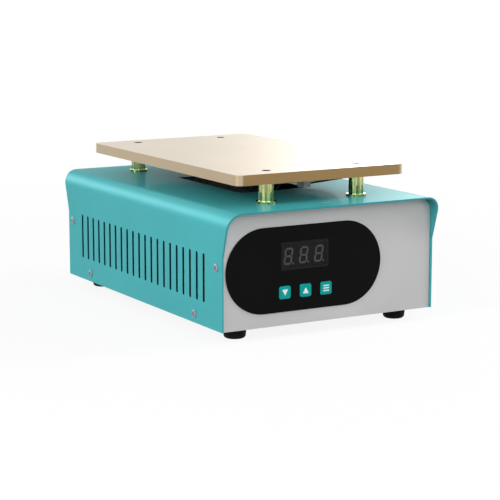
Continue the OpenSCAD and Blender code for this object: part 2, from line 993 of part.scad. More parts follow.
// clamp plate that presses the element to the heating plate, cut for the two leads
module heater_clamp() {
    color(steel)
        difference() {
            under_plate(heater_t + pad_t, clamp_t, heater_w, heater_len - 2 * clamp_inset);
            heater_lead_holes();
        }
}

// holes for the element's two leads
module heater_lead_holes() {
    for (s = [-1, 1])
        translate([s * heater_lead_x, heater_lead_y, z_plate - heater_stack - 1])
            cylinder(r = lead_r + lead_room, h = pad_t + clamp_t + 1);
}

// screws of the clamp plate, up into the heating plate
module clamp_screws() {
    color(steel)
        at_clamp_screws()
            translate([0, 0, z_plate - heater_stack])
                rotate([180, 0, 0])
                    pan_screw(heater_stack + blind_depth - 0.5);
}

// bolt-shaped temperature sensor screwed into the plate's underside
module temperature_sensor() {
    color(steel)
        translate([0, sensor_y, 0]) {
            translate([0, 0, z_plate - sensor_h])
                cylinder(d = sensor_af / cos(30), h = sensor_h, $fn = 6);
            translate([0, 0, z_plate - eps])
                cylinder(d = sensor_d, h = blind_depth - 0.5);
        }
}

// lead of the sensor, round the element's corner and through the cut-out to the power board
module sensor_lead() {
    beside = heater_w / 2 + 6;
    color(black)
        lead([
            [sensor_af / 2 / cos(30) + lead_gap, sensor_y, z_plate - 4.8],
            [heater_w / 2 - 3, sensor_y, z_plate - 2.6],
            [beside, -heater_len / 2 + 8, z_plate - 3],
            [beside, -opening_len / 2, z_plate - heater_stack - 0.6],
            [opening_w / 2 + 6, -opening_len / 2 + 14, z_top + 3.6],
            [opening_w / 2 - 7, -opening_len / 2 + 22, z_top + 1],
            [-6, -opening_len / 2 + 13, z_top - 22],
            [sensor_plug_x(), sensor_plug_y(), z_power + 20],
            [sensor_plug_x(), sensor_plug_y(), z_power + terminal_h - 2 + lead_gap]
        ], sensor_lead_r, [1, 1, -1]);
}

// two leads of the element, through the cut-out to the power board
module heater_leads() {
    color(black)
        for (s = [-1, 1])
            lead([
                [s * heater_lead_x, heater_lead_y, z_plate - heater_t - lead_gap],
                [s * heater_lead_x, heater_lead_y, z_top + 3],
                [s * heater_lead_x + 6, 0, z_top - 20],
                [heater_terminal_x() + s * 2.5, heater_terminal_y(), z_power + 26],
                [heater_terminal_x() + s * 2.5, heater_terminal_y(), z_power + terminal_h - 2 + lead_gap]
            ], lead_r, [1, 0, 0]);
}

// place of the element's terminals across the body
function heater_terminal_x() = 12;

// place of the element's terminals along the body
function heater_terminal_y() = power_y - 27;

// place of the sensor's terminals across the body
function sensor_plug_x() = -10;

// place of the sensor's terminals along the body
function sensor_plug_y() = power_y - 27;

// black lead that bonds the plate to the cover
module bonding_lead() {
    color(black)
        lead([
            [bond_x, bond_y + tongue_seat, z_top + ring_t + lead_r],
            [bond_x + 5, bond_y + 9, z_top + 2.6],
            [bond_x + 12, bond_y + 9, z_top + 3.4],
            [bond_plate_x - 1, bond_y + 6, z_top + 5.4],
            [bond_plate_x, bond_plate_y + tongue_seat, z_plate - ring_t - lead_r]
        ], lead_r);
}

// ring terminals of the bonding lead and of the earth lead
module ring_terminals() {
    color(steel) {
        translate([earth_x, earth_y, z_floor])
            ring_terminal();
        translate([bond_x, bond_y, z_top])
            rotate(180)
                ring_terminal();
        translate([bond_plate_x, bond_plate_y, z_plate - ring_t])
            rotate(180)
                ring_terminal();
    }
}

// flat ring with a tongue towards the front
module ring_terminal() {
    linear_extrude(height = ring_t)
        difference() {
            union() {
                circle(d = ring_d);
                translate([-tongue_w / 2, -tongue_len])
                    square([tongue_w, tongue_len]);
            }
            circle(d = screw_d + 2 * hole_gap);
        }
}

// stud with nut on the cover, and the screw under the plate, for the bonding lead
module bonding_hardware() {
    color(steel) {
        translate([bond_x, bond_y, z_ceiling])
            rotate([180, 0, 0])
                pan_screw(sheet_t + ring_t + nut_h + 1.4);
        translate([bond_x, bond_y, z_top + ring_t])
            nut(nut_af, nut_h, screw_d);
        translate([bond_plate_x, bond_plate_y, z_plate - ring_t])
            rotate([180, 0, 0])
                pan_screw(blind_depth - 0.5 + ring_t);
    }
}

// black overlay around the display and the buttons
module control_overlay() {
    color(black)
        along_y(-panel_y, overlay_t)
            difference() {
                translate([overlay_x, overlay_z])
                    lying_slot(overlay_w, overlay_h);
                translate([overlay_x, window_z])
                    square([window_w, window_h], center = true);
                at_buttons()
                    button_hole();
            }
}

// clear window over the display
module display_window() {
    color([0.2, 0.2, 0.22])
        along_y(-panel_y, overlay_t)
            translate([overlay_x, window_z])
                square([window_w - 2 * seat_gap, window_h - 2 * seat_gap], center = true);
}

// width of the display module, which fits the panel's hole
function display_w() = window_w - 2 * window_ledge - 2 * display_gap;

// height of the display module, which fits the panel's hole
function display_h() = window_h - 2 * window_ledge - 2 * display_gap;

// three-digit display module behind the window
module display_module() {
    color([0.3, 0.3, 0.3])
        along_y(control_y, display_depth)
            translate([overlay_x, window_z])
                square([display_w(), display_h()], center = true);
}

// button with a collar behind the panel and a stem for its switch
module button(i) {
    color([0.12, 0.66, 0.72])
        translate([button_x(i), 0, button_z]) {
            along_y(-panel_in, sheet_t + overlay_t + button_proud)
                round_rect(button_size, button_size, button_corner_r);
            along_y(-panel_in + collar_t, collar_t)
                round_rect(button_size + 2 * collar_rim, button_size + 2 * collar_rim, button_corner_r);
            along_y(control_y - push_h + stem_in, control_y - push_h + stem_in + panel_in - collar_t + eps)
                circle(d = stem_d);
        }
}

// button that lowers the setting
module button_down() {
    button(-1);
}

// button that raises the setting
module button_up() {
    button(0);
}

// button that stores the setting
module button_set() {
    button(1);
}

// push switches on the control board behind the buttons
module push_switches() {
    color(black)
        difference() {
            along_y(control_y, push_h)
                at_buttons()
                    square([push_w, push_w], center = true);
            along_y(control_y - push_h + stem_in + button_travel + stem_room, push_h)
                at_buttons()
                    circle(d = stem_d + 2 * move_gap);
        }
}

// upright control board behind the front panel
module control_board() {
    color(green)
        along_y(control_y + board_t, board_t)
            translate([overlay_x, control_z])
                difference() {
                    square([control_w, control_h], center = true);
                    for (x = [-1, 1], z = [-1, 1])
                        translate([x * control_hole_x, z * control_hole_z])
                            circle(d = screw_d + 2 * hole_gap);
                }
}

// round spacers between the front panel and the control board
module control_spacers() {
    color(brass)
        at_control_holes(-panel_in)
            ring(5.4, screw_d + 2 * thread_gap, control_y + panel_in);
}

// screws of the control board
module control_screws() {
    color(steel)
        at_control_holes(control_y + board_t)
            pan_screw(board_t + 4);
}

// controller chip on the back of the control board
module control_chip() {
    color(black)
        translate([overlay_x - ribbon_w - chip_w, control_y + board_t, control_z - 0.4 * chip_len])
            cube([chip_w, chip_t, chip_len]);
}

// middle of the ribbon cable across the body
function ribbon_x() = overlay_x + 8;

// height of the ribbon's header on the control board
function ribbon_z() = control_z - 6;

// place of the ribbon's header on the power board
function ribbon_y() = power_y - power_len / 2 + 6;

// headers at both ends of the ribbon cable
module ribbon_headers() {
    color(black) {
        translate([ribbon_x() - ribbon_w / 2 - 2, control_y + board_t, ribbon_z() - header_h / 2])
            cube([ribbon_w + 4, header_h, header_h]);
        translate([ribbon_x() - ribbon_w / 2 - 2, ribbon_y() - header_h / 2, z_power])
            cube([ribbon_w + 4, header_h, header_h]);
    }
}

// flat cable between the two boards, bent down onto the power board's header
module ribbon_cable() {
    y_start = control_y + board_t + header_h;
    y_end = ribbon_y();
    z_end = z_power + header_h;
    color([0.6, 0.6, 0.6])
        along_x(ribbon_x() - ribbon_w / 2, ribbon_w) {
            translate([y_start, ribbon_z() - ribbon_t / 2])
                square([y_end - ribbon_bend - y_start, ribbon_t]);
            translate([y_end - ribbon_bend, ribbon_z() - ribbon_bend])
                intersection() {
                    difference() {
                        circle(r = ribbon_bend + ribbon_t / 2);
                        circle(r = ribbon_bend - ribbon_t / 2);
                    }
                    square(2 * ribbon_bend);
                }
            translate([y_end - ribbon_t / 2, z_end])
                square([ribbon_t, ribbon_z() - ribbon_bend - z_end]);
        }
}

// flat board with the mains parts
module power_board() {
    color(green)
        translate([0, 0, z_power - board_t])
            linear_extrude(height = board_t)
                difference() {
                    translate([0, power_y])
                        square([power_w, power_len], center = true);
                    for (x = [-1, 1], y = [-1, 1])
                        translate([x * power_hole_x, power_y + y * power_hole_y])
                            circle(d = screw_d + 2 * hole_gap);
                }
}

// spacers under the power board
module power_spacers() {
    color(brass)
        at_power_holes()
            translate([0, 0, z_floor])
                ring(6, screw_d + 2 * thread_gap, spacer_h);
}

// screws of the power board, from above and from below the tray
module power_screws() {
    color(steel)
        at_power_holes() {
            translate([0, 0, z_power])
                pan_screw(board_t + spacer_h / 2 - 0.6);
            translate([0, 0, z_base])
                rotate([180, 0, 0])
                    pan_screw(sheet_t + spacer_h / 2 - 0.6);
        }
}

// laminated core of the supply transformer
module transformer_core() {
    window_side = (core_w - 2 * core_leg - core_mid) / 2;
    color([0.45, 0.45, 0.47])
        translate([trafo_x, 0, z_power])
            along_y(trafo_y + core_t / 2, core_t)
                difference() {
                    translate([-core_w / 2, 0])
                        square([core_w, core_h]);
                    for (s = [-1, 1])
                        translate([s * (core_mid + window_side) / 2 - window_side / 2, core_leg])
                            square([window_side, core_h - 2 * core_leg]);
                }
}

// winding around the core's middle leg
module transformer_coil() {
    leg_w = core_mid + 2 * coil_gap;
    leg_t = core_t + 2 * coil_gap;
    color([0.85, 0.7, 0.3])
        translate([trafo_x, trafo_y, z_power + core_leg + coil_gap])
            linear_extrude(height = core_h - 2 * core_leg - 2 * coil_gap)
                difference() {
                    square([leg_w + 2 * coil_t, leg_t + 2 * coil_t], center = true);
                    square([leg_w, leg_t], center = true);
                }
}

// place of the heatsink's front face along the body
function sink_front() = sink_y - 7;

// power semiconductor that switches the element
module triac() {
    body_z = triac_screw_h - 12.5;
    body_h = 9;
    leg_w = 0.8;
    leg_t = 0.6;
    leg_pitch = 2.54;
    tab_h = 6.5;
    color(black)
        translate([sink_x, sink_front(), z_power]) {
            translate([-triac_w / 2, -triac_t, body_z])
                cube([triac_w, triac_t, body_h]);
            difference() {
                translate([-triac_w / 2, -triac_tab, body_z + body_h - eps])
                    cube([triac_w, triac_tab, tab_h]);
                translate([0, -triac_tab - 1, triac_screw_h])
                    rotate([-90, 0, 0])
                        cylinder(d = screw_d + 2 * hole_gap, h = triac_tab + 2);
            }
            for (i = [-1, 0, 1])
                translate([i * leg_pitch - leg_w / 2, -triac_t / 2 - leg_t, 0])
                    cube([leg_w, leg_t, body_z + eps]);
        }
}

// finned heatsink behind the power semiconductor
module triac_heatsink() {
    pitch = (sink_w - fin_t) / (fin_count - 1);
    color([0.55, 0.56, 0.58])
        translate([sink_x, sink_front(), z_power])
            difference() {
                linear_extrude(height = sink_h) {
                    translate([-sink_w / 2, 0])
                        square([sink_w, sink_wall]);
                    for (i = [0:fin_count - 1])
                        translate([-sink_w / 2 + i * pitch, sink_wall - eps])
                            square([fin_t, fin_len]);
                }
                translate([0, -1, triac_screw_h])
                    rotate([-90, 0, 0])
                        cylinder(d = screw_d + 2 * thread_gap, h = sink_wall + fin_len / 2);
            }
}

// screw that holds the semiconductor to its heatsink
module triac_screw() {
    color(steel)
        translate([sink_x, sink_front() - triac_tab, z_power + triac_screw_h])
            rotate([90, 0, 0])
                pan_screw(triac_tab + sink_wall - 0.5);
}

// place of the fuse across the body
function fuse_x() = 40;

// place of the fuse along the body
function fuse_y() = power_y + 14;

// tube fuse between its clips
module fuse() {
    color([0.85, 0.87, 0.88])
        translate([fuse_x(), fuse_y() - fuse_len / 2, z_power + fuse_h])
            rotate([-90, 0, 0])
                cylinder(d = fuse_d, h = fuse_len);
}

// spring clips of the fuse
module fuse_clips() {
    color(brass)
        translate([fuse_x(), 0, z_power])
            for (s = [-1, 1])
                along_y(fuse_y() + s * (fuse_len - clip_len) / 2 + clip_len / 2, clip_len)
                    difference() {
                        translate([-clip_w / 2, 0])
                            square([clip_w, fuse_h + 1]);
                        translate([0, fuse_h])
                            circle(d = fuse_d + 2 * seat_gap);
                    }
}

// place of the mains terminal block across the body
function mains_x() = 8;

// place of the mains terminal block along the body
function mains_y() = power_y + power_len / 2 - 7;

// screw terminals for the mains leads
module mains_terminals() {
    color([0.15, 0.4, 0.25])
        translate([mains_x(), mains_y(), z_power])
            difference() {
                translate([-8, -5, 0])
                    cube([16, 10, terminal_h]);
                for (s = [-1, 1]) {
                    translate([s * 4, 1, terminal_hole_h])
                        rotate([-90, 0, 0])
                            cylinder(r = lead_r + lead_room, h = 6);
                    translate([s * 4, -1.5, terminal_h - 3])
                        cylinder(d = 3.6, h = 4);
                }
            }
}

// screw terminals for the element's leads, and the socket of the sensor's lead
module board_terminals() {
    color([0.15, 0.4, 0.25]) {
        translate([heater_terminal_x(), heater_terminal_y(), z_power])
            difference() {
                translate([-5.5, -4, 0])
                    cube([11, 8, terminal_h]);
                for (s = [-1, 1])
                    translate([s * 2.5, 0, terminal_h - 2])
                        cylinder(r = lead_r + lead_room, h = 3);
            }
        translate([sensor_plug_x(), sensor_plug_y(), z_power])
            difference() {
                translate([-3, -3, 0])
                    cube([6, 6, terminal_h]);
                translate([0, 0, terminal_h - 2])
                    cylinder(r = lead_r + lead_room, h = 3);
            }
    }
}

// leads from the inlet to the switch, the terminals and the earth stud
module mains_leads() {
    tab_y = inlet_back() - tab_len - lead_gap;
    contact_y = panel_y + switch_flange_t - switch_depth - tab_len - lead_gap;
    tz = z_power + terminal_hole_h;
    color([0.35, 0.22, 0.14]) {
        lead([
            [inlet_x + pin_side, tab_y, rear_z - pin_rise],
            [inlet_x + pin_side + 1, tab_y - 9, rear_z],
            [0, tab_y - 13, rear_z + 6],
            [switch_x - 10, contact_y - 12, rear_z + 7],
            [switch_x, contact_y - 6, rear_z + tab_rise + 0.5],
            [switch_x, contact_y, rear_z + tab_rise]
        ], lead_r);
        lead([
            [switch_x, contact_y, rear_z - tab_rise],
            [switch_x - 1, contact_y - 9, rear_z - 7],
            [mains_x() + 14, mains_y() + 24, tz + 3],
            [mains_x() + 5, mains_y() + 15, tz + 0.5],
            [mains_x() + 4, mains_y() + 1.5, tz]
        ], lead_r);
    }
    color([0.2, 0.35, 0.6])
        lead([
            [inlet_x - pin_side, tab_y, rear_z - pin_rise],
            [inlet_x - pin_side, tab_y - 6, rear_z - pin_rise - 1],
            [inlet_x + 6, tab_y - 12, tz + 7],
            [mains_x() - 8, mains_y() + 19, tz + 2],
            [mains_x() - 4, mains_y() + 10, tz],
            [mains_x() - 4, mains_y() + 1.5, tz]
        ], lead_r);
    color([0.45, 0.65, 0.2])
        lead([
            [inlet_x, tab_y, rear_z + pin_rise],
            [inlet_x - 2, tab_y - 12, rear_z + 2],
            [inlet_x - 14, tab_y - 14, rear_z - 6],
            [earth_x + 4, earth_y - 12, z_floor + 12],
            [earth_x + 1, earth_y - 11, z_floor + 4],
            [earth_x, earth_y - tongue_seat, z_floor + ring_t + lead_r]
        ], lead_r, [1, 0.3, 0]);
}

// earth stud on the tray with its nut
module earth_stud() {
    color(steel)
        translate([earth_x, earth_y, 0]) {
            translate([0, 0, z_base])
                rotate([180, 0, 0])
                    pan_screw(sheet_t + ring_t + nut_h + 2);
            translate([0, 0, z_floor + ring_t])
                nut(nut_af, nut_h, screw_d);
        }
}

// distance of the inlet's inner end from the middle
function inlet_back() = panel_y + inlet_flange_t - inlet_depth;

// outline of the inlet with two cut corners above
module inlet_outline(w, h) {
    cut = inlet_cut;
    polygon([
        [-w / 2, -h / 2],
        [w / 2, -h / 2],
        [w / 2, h / 2 - cut],
        [w / 2 - cut, h / 2],
        [-w / 2 + cut, h / 2],
        [-w / 2, h / 2 - cut]
    ]);
}

// middles of the inlet's three pins from the inlet's middle
function pin_places() = [[-pin_side, -pin_rise], [pin_side, -pin_rise], [0, pin_rise]];

// mains inlet with a flange and a deep mouth
module mains_inlet() {
    color(black)
        translate([inlet_x, 0, rear_z])
            difference() {
                union() {
                    along_y(panel_y + inlet_flange_t, inlet_flange_t)
                        difference() {
                            round_rect(inlet_flange_w, inlet_flange_h, inlet_flange_h / 4);
                            for (s = [-1, 1])
                                translate([s * inlet_screw_span / 2, 0])
                                    circle(d = screw_d + 2 * hole_gap);
                        }
                    along_y(panel_y + eps, inlet_depth - inlet_flange_t + eps)
                        inlet_outline(inlet_w, inlet_h);
                }
                along_y(panel_y + inlet_flange_t + 1, mouth_depth + 1)
                    inlet_outline(inlet_w - 2 * inlet_wall, inlet_h - 2 * inlet_wall);
                along_y(panel_y, inlet_depth)
                    for (p = pin_places())
                        translate(p)
                            square([pin_t + 2 * seat_gap, pin_h + 2 * seat_gap], center = true);
            }
}

// three blades of the inlet
module inlet_pins() {
    floor_y = panel_y + inlet_flange_t - mouth_depth;
    color(brass)
        translate([inlet_x, 0, rear_z])
            along_y(floor_y + pin_len, pin_len + inlet_end_t + tab_len)
                for (p = pin_places())
                    translate(p)
                        square([pin_t, pin_h], center = true);
}

// screws of the inlet
module inlet_screws() {
    color(steel)
        for (s = [-1, 1])
            translate([inlet_x + s * inlet_screw_span / 2, panel_y + inlet_flange_t, rear_z])
                rotate([-90, 0, 0])
                    pan_screw(inlet_flange_t + sheet_t + nut_h + 1);
}

// nuts of the inlet's screws
module inlet_nuts() {
    color(steel)
        for (s = [-1, 1])
            translate([inlet_x + s * inlet_screw_span / 2, panel_in, rear_z])
                rotate([90, 0, 0])
                    nut(nut_af, nut_h, screw_d);
}

// body of the power switch with its flange and the pocket for the rocker
module switch_body() {
    face = panel_y + switch_flange_t;
    color(black)
        translate([switch_x, 0, rear_z])
            difference() {
                union() {
                    along_y(face, switch_flange_t)
                        round_rect(switch_w + 2 * switch_rim, switch_h + 2 * switch_rim, switch_rim);
                    along_y(panel_y + eps, switch_depth - switch_flange_t + eps)
                        square([switch_w, switch_h], center = true);
                }
                along_y(face + 1, 1 + pivot_in + rocker_in + 2)
                    square([rocker_w + 2 * move_gap, 2 * (rocker_r + move_gap)], center = true);
                translate([0, face - pivot_in, 0])
                    rotate([0, 90, 0])
                        cylinder(d = trunnion_d + 2 * pivot_gap, h = trunnion_bore(), center = true);
                along_y(face - switch_depth + tab_in, tab_in + 1)
                    for (s = [-1, 1])
                        translate([0, s * tab_rise])
                            square([tab_w + 2 * seat_gap, tab_t + 2 * seat_gap], center = true);
            }
}

// length of the bore for the rocker's trunnions
function trunnion_bore() = rocker_w + 2 * trunnion_len + 2 * move_gap;

// flat contacts of the power switch
module switch_tabs() {
    y_far = panel_y + switch_flange_t - switch_depth + tab_in;
    color(brass)
        translate([switch_x, 0, rear_z])
            along_y(y_far, tab_in + tab_len)
                for (s = [-1, 1])
                    translate([0, s * tab_rise])
                        square([tab_w, tab_t], center = true);
}

// side view of the rocker about its pivot: round ends and a shallow hollow between them
module rocker_side() {
    mid_out = 2.8;
    end_out = 4.6;
    intersection() {
        circle(r = rocker_r);
        polygon([
            [-rocker_in, -rocker_r],
            [end_out, -rocker_r],
            [mid_out, 0],
            [end_out, rocker_r],
            [-rocker_in, rocker_r]
        ]);
    }
}

// rocker of the power switch, tilted to its off side
module switch_rocker() {
    color([0.1, 0.1, 0.1])
        translate([switch_x, panel_y + switch_flange_t - pivot_in, rear_z])
            rotate([-rocker_tilt, 0, 0]) {
                along_x(-rocker_w / 2, rocker_w)
                    rocker_side();
                rotate([0, 90, 0])
                    cylinder(d = trunnion_d, h = rocker_w + 2 * trunnion_len, center = true);
            }
}

top_cover();
base_tray();
front_panel();
rear_panel();
cover_side_screws();
cover_top_screws();
panel_base_screws();
rubber_feet();
foot_screws();
foot_nuts();
heating_plate();
plate_screws();
plate_posts();
post_washers();
post_nuts();
heater_element();
insulating_pad();
heater_clamp();
clamp_screws();
temperature_sensor();
sensor_lead();
heater_leads();
bonding_lead();
ring_terminals();
bonding_hardware();
control_overlay();
display_window();
display_module();
button_down();
button_up();
button_set();
push_switches();
control_board();
control_spacers();
control_screws();
control_chip();
ribbon_headers();
ribbon_cable();
power_board();
power_spacers();
power_screws();
transformer_core();
transformer_coil();
triac();
triac_heatsink();
triac_screw();
fuse();
fuse_clips();
mains_terminals();
board_terminals();
mains_leads();
earth_stud();
mains_inlet();
inlet_pins();
inlet_screws();
inlet_nuts();
switch_body();
switch_tabs();
switch_rocker();
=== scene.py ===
# A bench preheater for circuit boards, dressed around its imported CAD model.
# Every length is in metres, in the CAD model's own frame: front -Y, up +Z, table at z = 0.
import json
import math

import bmesh
import bpy
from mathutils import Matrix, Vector


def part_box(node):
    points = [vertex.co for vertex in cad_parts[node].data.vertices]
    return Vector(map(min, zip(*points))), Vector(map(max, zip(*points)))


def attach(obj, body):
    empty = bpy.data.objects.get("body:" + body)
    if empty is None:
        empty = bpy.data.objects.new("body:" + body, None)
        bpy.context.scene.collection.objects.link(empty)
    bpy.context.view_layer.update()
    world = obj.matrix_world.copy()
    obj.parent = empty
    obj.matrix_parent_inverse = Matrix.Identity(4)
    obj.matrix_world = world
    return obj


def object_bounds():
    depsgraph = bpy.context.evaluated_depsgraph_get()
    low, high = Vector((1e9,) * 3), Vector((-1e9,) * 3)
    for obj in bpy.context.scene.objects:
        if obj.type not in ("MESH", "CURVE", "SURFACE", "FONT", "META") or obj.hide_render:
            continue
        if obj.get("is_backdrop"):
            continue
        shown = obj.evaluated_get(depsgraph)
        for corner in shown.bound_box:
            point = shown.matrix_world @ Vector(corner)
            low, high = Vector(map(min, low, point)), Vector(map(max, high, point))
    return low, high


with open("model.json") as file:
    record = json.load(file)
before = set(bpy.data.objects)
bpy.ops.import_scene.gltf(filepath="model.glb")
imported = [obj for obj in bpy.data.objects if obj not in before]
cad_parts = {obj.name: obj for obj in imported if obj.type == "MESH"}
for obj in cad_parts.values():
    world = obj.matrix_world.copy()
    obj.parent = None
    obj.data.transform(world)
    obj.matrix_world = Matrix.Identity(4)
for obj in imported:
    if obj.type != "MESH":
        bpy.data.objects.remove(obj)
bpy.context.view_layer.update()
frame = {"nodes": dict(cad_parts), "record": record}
nodes = frame["nodes"]
MM = 0.001
FULL = (1.0, 1.0, 1.0)

# Cover: colours, shoulder radius, the distance along Y past which all of it is outside, and paint depths
TEAL = (0.066, 0.410, 0.437)
# The dark colour below is primer and painted shade on the cut edges and the inside of the cover
PRIMER_AND_SHADE = (0.05, 0.07, 0.08)
SHOULDER_R = 9.6 * MM
WALL_END = 98 * MM
THIN_PAINT = 0.25 * MM
FULL_PAINT = 0.08 * MM

# Plate: colours, the part of a normal along Y at which an end begins, and where its screw recesses lie
GOLD = (0.47, 0.375, 0.245)
# The end tone is partly a cut finish and partly painted shade on the faces that look along Y
END_FINISH_AND_SHADE = (0.57, 0.47, 0.32)
END_FROM = 0.96
END_TO = 0.99
END_ROUGHER = 0.15
# The recess colour is painted shade in the screw recesses
RECESS_SHADE = (0.12, 0.10, 0.08)
RECESS_MARGIN = 5 * MM
RECESS_BELOW_TOP = 0.04 * MM
RECESS_ABOVE_BASE = 0.5 * MM

# Noise stays mostly between these two values
NOISE_LOW = 0.3
NOISE_HIGH = 0.7


# Materials

class Finish:
    """A node material around one Principled shader. Its patterns lie in the part's own coordinates."""

    def __init__(self, name):
        self.material = bpy.data.materials.new(name)
        self.material.use_nodes = True
        self.tree = self.material.node_tree
        self.shader = self.tree.nodes["Principled BSDF"]
        coordinates = self.add("ShaderNodeTexCoord")
        self.place = coordinates.outputs["Object"]
        self.facing = coordinates.outputs["Normal"]

    def add(self, kind, **inputs):
        node = self.tree.nodes.new(kind)
        for key, value in inputs.items():
            node.inputs[key].default_value = value
        return node

    def join(self, output, target):
        self.tree.links.new(output, target)

    def axes(self, vector):
        """The three numbers of a vector."""
        split = self.add("ShaderNodeSeparateXYZ")
        self.join(vector, split.inputs["Vector"])
        return split.outputs["X"], split.outputs["Y"], split.outputs["Z"]

    def stretched(self, stretch):
        """Coordinates pulled along an axis, for brushed or drawn surfaces."""
        mapping = self.add("ShaderNodeMapping", Scale=stretch)
        self.join(self.place, mapping.inputs["Vector"])
        return mapping.outputs["Vector"]

    def noise(self, size, detail=3.0, stretch=None):
        """Noise whose lumps measure about size."""
        texture = self.add("ShaderNodeTexNoise", Scale=1.0 / size, Detail=detail)
        self.join(self.stretched(stretch) if stretch else self.place, texture.inputs["Vector"])
        return texture.outputs["Fac"]

    def cells(self, size):
        """Flat cells of about that size, each with its own value."""
        texture = self.add("ShaderNodeTexVoronoi", Scale=1.0 / size)
        self.join(self.place, texture.inputs["Vector"])
        split = self.add("ShaderNodeSeparateColor")
        self.join(texture.outputs["Color"], split.inputs["Color"])
        return split.outputs["Red"]

    def bands(self, axis, pitch, wobble=0.0):
        """Ridges across an axis, one to a pitch."""
        texture = self.add("ShaderNodeTexWave", Scale=math.pi / 10 / pitch, Distortion=wobble)
        texture.bands_direction = axis
        self.join(self.place, texture.inputs["Vector"])
        return texture.outputs["Fac"]

    def blend(self, factor, low, high, lowest=NOISE_LOW, highest=NOISE_HIGH):
        """Colours from low to high as the pattern goes from lowest to highest."""
        ramp = self.add("ShaderNodeValToRGB")
        first, last = ramp.color_ramp.elements
        first.position, last.position = lowest, highest
        first.color, last.color = (*low, 1), (*high, 1)
        self.join(factor, ramp.inputs["Fac"])
        return ramp.outputs["Color"]

    def multiply(self, a, b):
        mix = self.add("ShaderNodeMix")
        mix.data_type, mix.blend_type = "RGBA", "MULTIPLY"
        mix.inputs[0].default_value = 1.0
        self.join(a, mix.inputs[6])
        self.join(b, mix.inputs[7])
        return mix.outputs[2]

    def spread(self, factor, low, high, lowest=NOISE_LOW, highest=NOISE_HIGH):
        """Numbers from low to high as the pattern goes from lowest to highest."""
        limits = {"From Min": lowest, "From Max": highest, "To Min": low, "To Max": high}
        step = self.add("ShaderNodeMapRange", **limits)
        self.join(factor, step.inputs["Value"])
        return step.outputs["Result"]

    def math(self, operation, a, b=None):
        """One arithmetic step on a pattern. The second value may be a number."""
        step = self.add("ShaderNodeMath")
        step.operation = operation
        self.join(a, step.inputs[0])
        if isinstance(b, (int, float)):
            step.inputs[1].default_value = b
        elif b is not None:
            self.join(b, step.inputs[1])
        return step.outputs["Value"]

    def relief(self, height, depth, strength=1.0, below=None):
        bump = self.add("ShaderNodeBump", Strength=strength, Distance=depth)
        self.join(height, bump.inputs["Height"])
        if below:
            self.join(below, bump.inputs["Normal"])
        return bump.outputs["Normal"]

    def colour(self, output):
        self.join(output, self.shader.inputs["Base Color"])

    def roughness(self, output):
        self.join(output, self.shader.inputs["Roughness"])

    def normal(self, output):
        self.join(output, self.shader.inputs["Normal"])

    def set(self, **values):
        for key, value in values.items():
            self.shader.inputs[key.replace("_", " ")].default_value = value


def shade(colour, share):
    return tuple(min(1.0, c * share) for c in colour)


def surface(name, colour, rough, vary=0.06, mottle=0.02, grain=0.0006, depth=0.00001,
            stretch=None, pattern=None, pattern_depth=0.0, pattern_shade=0.7, **values):
    """A finish with slow mottling, fine grain in colour, roughness and relief, and an optional pattern."""
    f = Finish(name)
    slow = f.noise(mottle, 2.0)
    fine = f.noise(grain, 4.0, stretch)
    tone = f.blend(slow, shade(colour, 1 - vary), shade(colour, 1 + vary))
    speckle = f.blend(fine, (1 - vary,) * 3, FULL)
    tone = f.multiply(tone, speckle)
    below = None
    if pattern:
        lines = pattern(f)
        tone = f.multiply(tone, f.blend(lines, (pattern_shade,) * 3, FULL, 0.15, 0.5))
        if pattern_depth:
            below = f.relief(lines, pattern_depth)
    f.colour(tone)
    f.roughness(f.spread(fine, *rough))
    f.normal(f.relief(fine, depth, 0.6, below))
    f.set(**values)
    return f.material


def cover_paint():
    """Satin teal paint, full on the outside and thin on cut edges and inside, which are darkened to a colour
    that is dark primer and painted shade.
    """
    f = Finish("cover_paint")
    slow, fine = f.noise(0.05, 2.0), f.noise(0.0005, 4.0)
    tone = f.blend(slow, shade(TEAL, 0.97), shade(TEAL, 1.03))
    tone = f.multiply(tone, f.blend(fine, (0.96,) * 3, FULL))
    x, y, z = f.axes(f.place)
    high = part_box("top_cover")[1]
    across = f.math("SUBTRACT", f.math("ABSOLUTE", x), high.x - SHOULDER_R)
    upward = f.math("SUBTRACT", z, high.z - SHOULDER_R)
    across, upward = f.math("MAXIMUM", across, 0.0), f.math("MAXIMUM", upward, 0.0)
    squares = f.math("ADD", f.math("MULTIPLY", across, across), f.math("MULTIPLY", upward, upward))
    reach = f.math("SQRT", squares)
    skin = f.spread(reach, 0.0, 1.0, SHOULDER_R - THIN_PAINT, SHOULDER_R - FULL_PAINT)
    ends = f.math("GREATER_THAN", f.math("ABSOLUTE", y), WALL_END)
    outside = f.math("MAXIMUM", skin, ends)
    # Cut edges and the inside are darkened to primer and painted shade
    tone = f.multiply(tone, f.blend(outside, PRIMER_AND_SHADE, FULL, 0.0, 1.0))
    f.colour(tone)
    f.roughness(f.spread(fine, 0.46, 0.54))
    f.normal(f.relief(fine, 0.000004, 0.6))
    f.set(Metallic=0.25, Specular_IOR_Level=0.0, Coat_Weight=0.13, Coat_Roughness=0.15)
    return f.material


